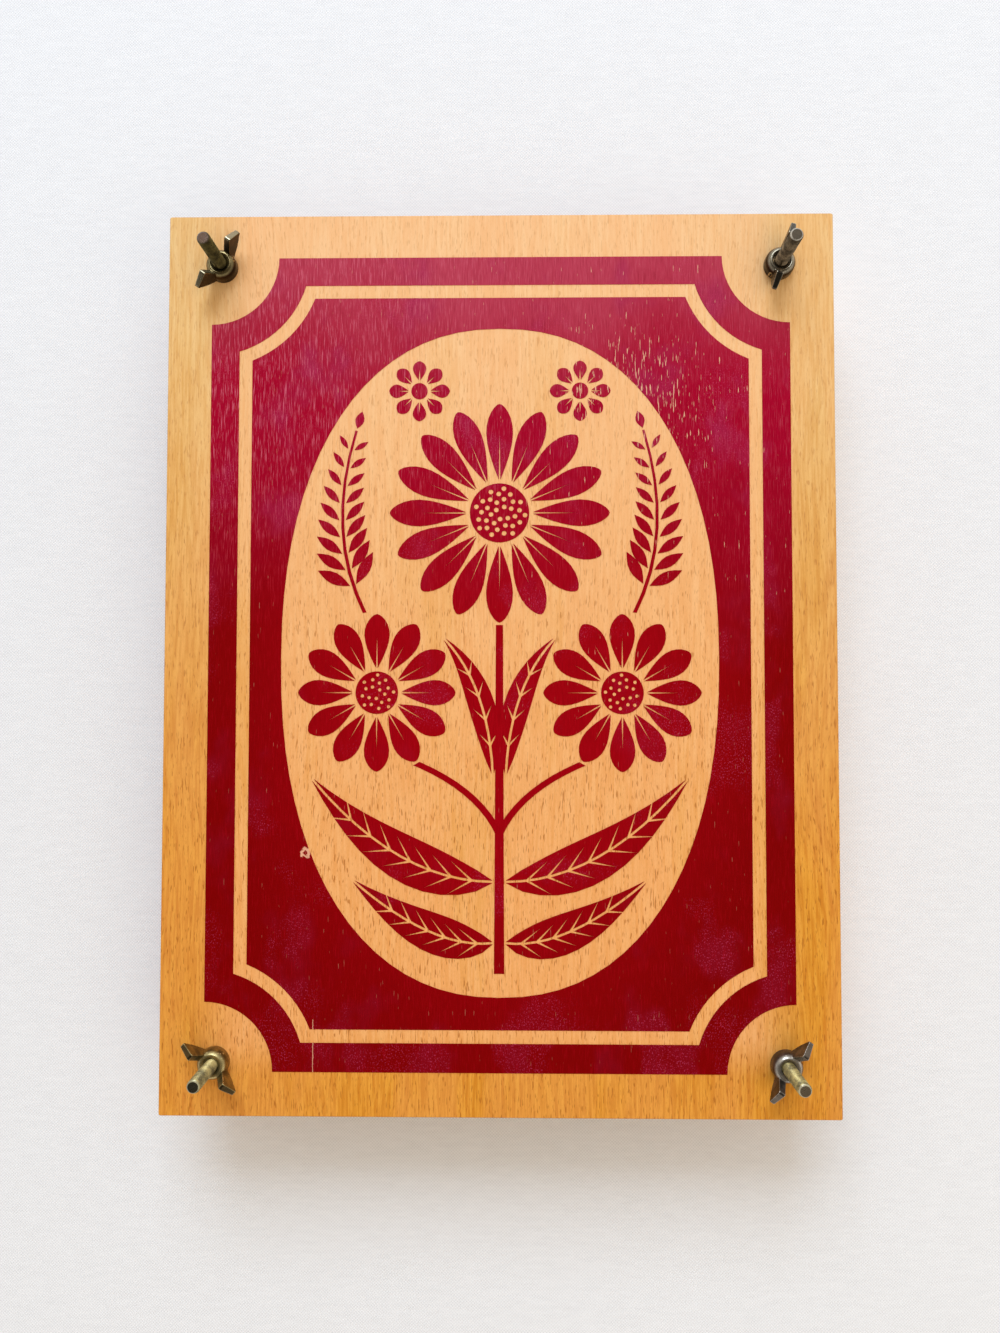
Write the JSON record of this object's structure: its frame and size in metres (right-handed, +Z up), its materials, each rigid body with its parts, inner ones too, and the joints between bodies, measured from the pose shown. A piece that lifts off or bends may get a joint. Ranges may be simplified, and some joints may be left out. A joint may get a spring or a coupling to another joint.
{
  "type": "flower press",
  "caption": "Rectangular wooden flower press: boards clamped by corner bolts with wing nuts over corrugated cards and blotting sheets, floral print in an oval.",
  "frame": {"origin": "middle of the underside of the bottom board", "axes": "+X across the short side to the right, +Y along the long side towards the top of the design, +Z up"},
  "size_m": [0.255, 0.342, 0.072],
  "materials": {
    "beech": "clear-coated beech plywood",
    "ink": "worn maroon screen-printed ink",
    "bolt_steel": "tarnished plated steel",
    "nut_steel": "tarnished plated steel",
    "kraft_card": "plain brown corrugated card",
    "blotting_paper": "soft off-white blotting paper"
  },
  "bodies": {
    "base": {"bottom_board": "beech", "bolt_front_left": "bolt_steel", "bolt_front_right": "bolt_steel", "bolt_back_left": "bolt_steel", "bolt_back_right": "bolt_steel", "card_1": "kraft_card", "blotter_1": "blotting_paper"},
    "top_board": {"top_board": "beech", "printed_design": "ink"},
    "wing_nut_front_left": {"wing_nut_front_left": "nut_steel"},
    "wing_nut_front_right": {"wing_nut_front_right": "nut_steel"},
    "wing_nut_back_left": {"wing_nut_back_left": "nut_steel"},
    "wing_nut_back_right": {"wing_nut_back_right": "nut_steel"},
    "blotter_2": {"blotter_2": "blotting_paper"},
    "card_2": {"card_2": "kraft_card"},
    "blotter_3": {"blotter_3": "blotting_paper"},
    "blotter_4": {"blotter_4": "blotting_paper"},
    "card_3": {"card_3": "kraft_card"},
    "blotter_5": {"blotter_5": "blotting_paper"},
    "blotter_6": {"blotter_6": "blotting_paper"},
    "card_4": {"card_4": "kraft_card"},
    "blotter_7": {"blotter_7": "blotting_paper"},
    "blotter_8": {"blotter_8": "blotting_paper"},
    "card_5": {"card_5": "kraft_card"}
  },
  "joints": [
    {"name": "press_opening", "type": "slide", "parent": "base", "child": "top_board", "axis": [0, 0, 1], "range_m": [0, 0.02]},
    {"name": "nut_front_left_turn", "type": "hinge", "parent": "top_board", "child": "wing_nut_front_left", "pos_m": [-0.1064, -0.1506, 0.046], "axis": [0, 0, 1], "range_deg": [0, 9001]},
    {"name": "nut_front_right_turn", "type": "hinge", "parent": "top_board", "child": "wing_nut_front_right", "pos_m": [0.1064, -0.1506, 0.046], "axis": [0, 0, 1], "range_deg": [0, 9001]},
    {"name": "nut_back_left_turn", "type": "hinge", "parent": "top_board", "child": "wing_nut_back_left", "pos_m": [-0.1064, 0.1506, 0.046], "axis": [0, 0, 1], "range_deg": [0, 9001]},
    {"name": "nut_back_right_turn", "type": "hinge", "parent": "top_board", "child": "wing_nut_back_right", "pos_m": [0.1064, 0.1506, 0.046], "axis": [0, 0, 1], "range_deg": [0, 9001]},
    {"name": "blotter_2_lift", "type": "slide", "parent": "base", "child": "blotter_2", "axis": [0, 0, 1], "range_m": [0, 0.00401]},
    {"name": "card_2_lift", "type": "slide", "parent": "base", "child": "card_2", "axis": [0, 0, 1], "range_m": [0, 0.00401]},
    {"name": "blotter_3_lift", "type": "slide", "parent": "base", "child": "blotter_3", "axis": [0, 0, 1], "range_m": [0, 0.00401]},
    {"name": "blotter_4_lift", "type": "slide", "parent": "base", "child": "blotter_4", "axis": [0, 0, 1], "range_m": [0, 0.00801]},
    {"name": "card_3_lift", "type": "slide", "parent": "base", "child": "card_3", "axis": [0, 0, 1], "range_m": [0, 0.00801]},
    {"name": "blotter_5_lift", "type": "slide", "parent": "base", "child": "blotter_5", "axis": [0, 0, 1], "range_m": [0, 0.00801]},
    {"name": "blotter_6_lift", "type": "slide", "parent": "base", "child": "blotter_6", "axis": [0, 0, 1], "range_m": [0, 0.01201]},
    {"name": "card_4_lift", "type": "slide", "parent": "base", "child": "card_4", "axis": [0, 0, 1], "range_m": [0, 0.01201]},
    {"name": "blotter_7_lift", "type": "slide", "parent": "base", "child": "blotter_7", "axis": [0, 0, 1], "range_m": [0, 0.01201]},
    {"name": "blotter_8_lift", "type": "slide", "parent": "base", "child": "blotter_8", "axis": [0, 0, 1], "range_m": [0, 0.01601]},
    {"name": "card_5_lift", "type": "slide", "parent": "base", "child": "card_5", "axis": [0, 0, 1], "range_m": [0, 0.01601]}
  ],
  "couplings": [
    {"joint": "nut_front_left_turn", "follows": "press_opening", "rad_per_m": 7854},
    {"joint": "nut_front_right_turn", "follows": "press_opening", "rad_per_m": 7854},
    {"joint": "nut_back_left_turn", "follows": "press_opening", "rad_per_m": 7854},
    {"joint": "nut_back_right_turn", "follows": "press_opening", "rad_per_m": 7854},
    {"joint": "blotter_2_lift", "follows": "press_opening", "ratio": 0.2},
    {"joint": "card_2_lift", "follows": "press_opening", "ratio": 0.2},
    {"joint": "blotter_3_lift", "follows": "press_opening", "ratio": 0.2},
    {"joint": "blotter_4_lift", "follows": "press_opening", "ratio": 0.4},
    {"joint": "card_3_lift", "follows": "press_opening", "ratio": 0.4},
    {"joint": "blotter_5_lift", "follows": "press_opening", "ratio": 0.4},
    {"joint": "blotter_6_lift", "follows": "press_opening", "ratio": 0.6},
    {"joint": "card_4_lift", "follows": "press_opening", "ratio": 0.6},
    {"joint": "blotter_7_lift", "follows": "press_opening", "ratio": 0.6},
    {"joint": "blotter_8_lift", "follows": "press_opening", "ratio": 0.8},
    {"joint": "card_5_lift", "follows": "press_opening", "ratio": 0.8}
  ]
}
